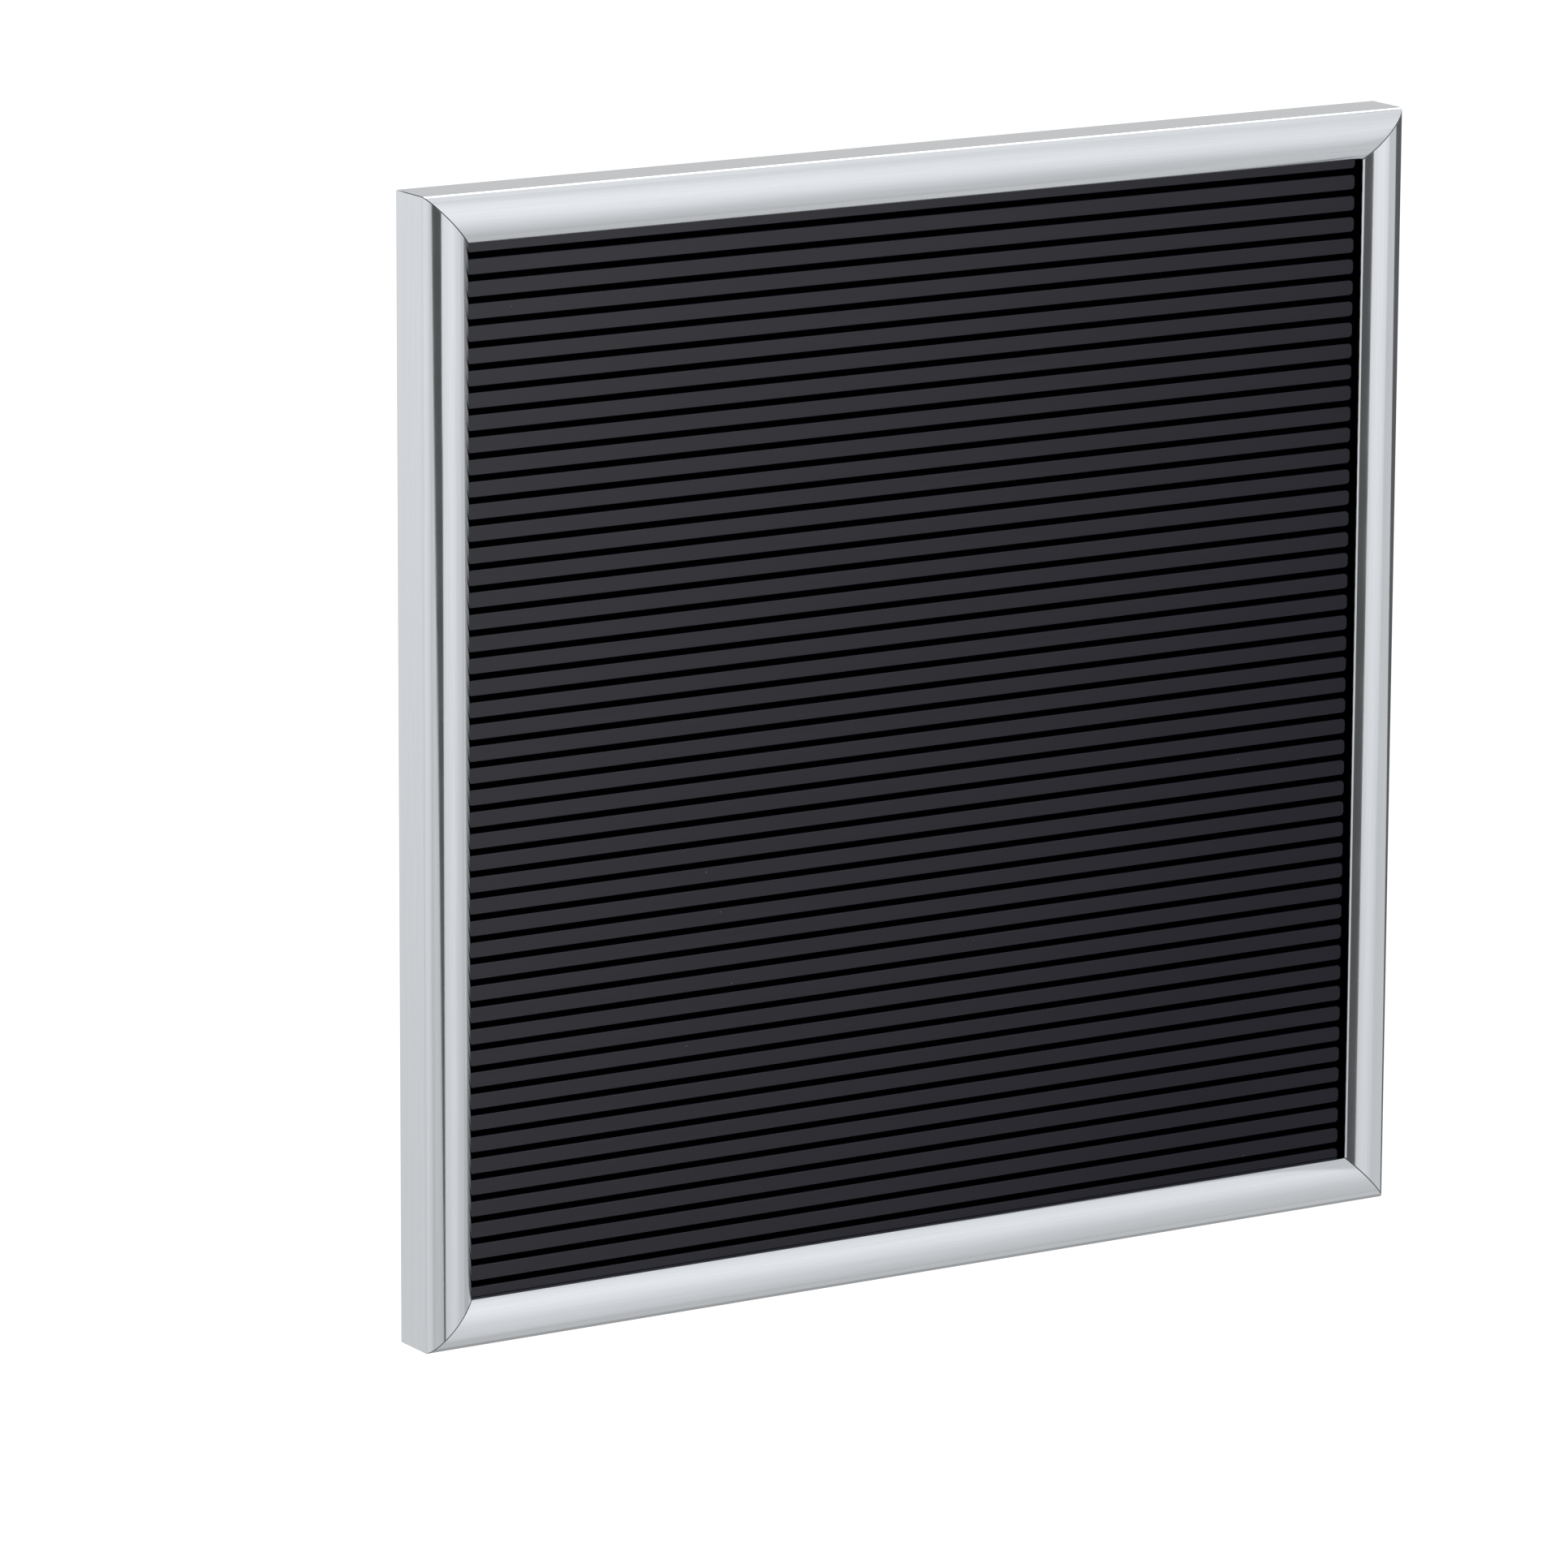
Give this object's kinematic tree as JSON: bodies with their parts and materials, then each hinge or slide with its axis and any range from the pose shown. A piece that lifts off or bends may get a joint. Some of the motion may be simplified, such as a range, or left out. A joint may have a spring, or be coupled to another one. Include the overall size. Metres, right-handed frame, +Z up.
{
  "type": "letter board",
  "caption": "Square wall-hung letter board: a black plate with long horizontal letter grooves in a mitred satin aluminium frame, with hanging hardware behind.",
  "frame": {"origin": "middle of the rear face of the toothed hanger strip, on the wall plane, 7 mm below the frame's top edge", "axes": "+Y from the board into the wall, so the grooved front faces -Y; +Z up; +X to the right as the board is read"},
  "size_m": [0.3, 0.02, 0.3],
  "materials": {
    "anodised_aluminium": "satin anodised",
    "black_plastic": "satin moulded",
    "hardboard": "smooth pressed hardboard",
    "zinc_plated_steel": "bright zinc",
    "spring_steel": "blued",
    "rubber": "matt"
  },
  "bodies": {
    "root": {"top_rail": "anodised_aluminium", "bottom_rail": "anodised_aluminium", "left_rail": "anodised_aluminium", "right_rail": "anodised_aluminium", "letter_panel": "black_plastic", "backing_board": "hardboard", "spring_clip_bottom_1": "spring_steel", "spring_clip_bottom_2": "spring_steel", "spring_clip_left_1": "spring_steel", "spring_clip_left_2": "spring_steel", "spring_clip_top_1": "spring_steel", "spring_clip_top_2": "spring_steel", "spring_clip_right_1": "spring_steel", "spring_clip_right_2": "spring_steel", "corner_plate_bottom_left": "zinc_plated_steel", "corner_plate_top_left": "zinc_plated_steel", "corner_plate_top_right": "zinc_plated_steel", "corner_plate_bottom_right": "zinc_plated_steel", "corner_shim_bottom_left": "zinc_plated_steel", "corner_shim_top_left": "zinc_plated_steel", "corner_shim_top_right": "zinc_plated_steel", "corner_shim_bottom_right": "zinc_plated_steel", "corner_screw_bottom_left_1": "spring_steel", "corner_screw_bottom_left_2": "spring_steel", "corner_screw_top_left_1": "spring_steel", "corner_screw_top_left_2": "spring_steel", "corner_screw_top_right_1": "spring_steel", "corner_screw_top_right_2": "spring_steel", "corner_screw_bottom_right_1": "spring_steel", "corner_screw_bottom_right_2": "spring_steel", "sawtooth_hanger": "zinc_plated_steel", "wall_bumper_left": "rubber", "wall_bumper_right": "rubber"}
  },
  "joints": []
}
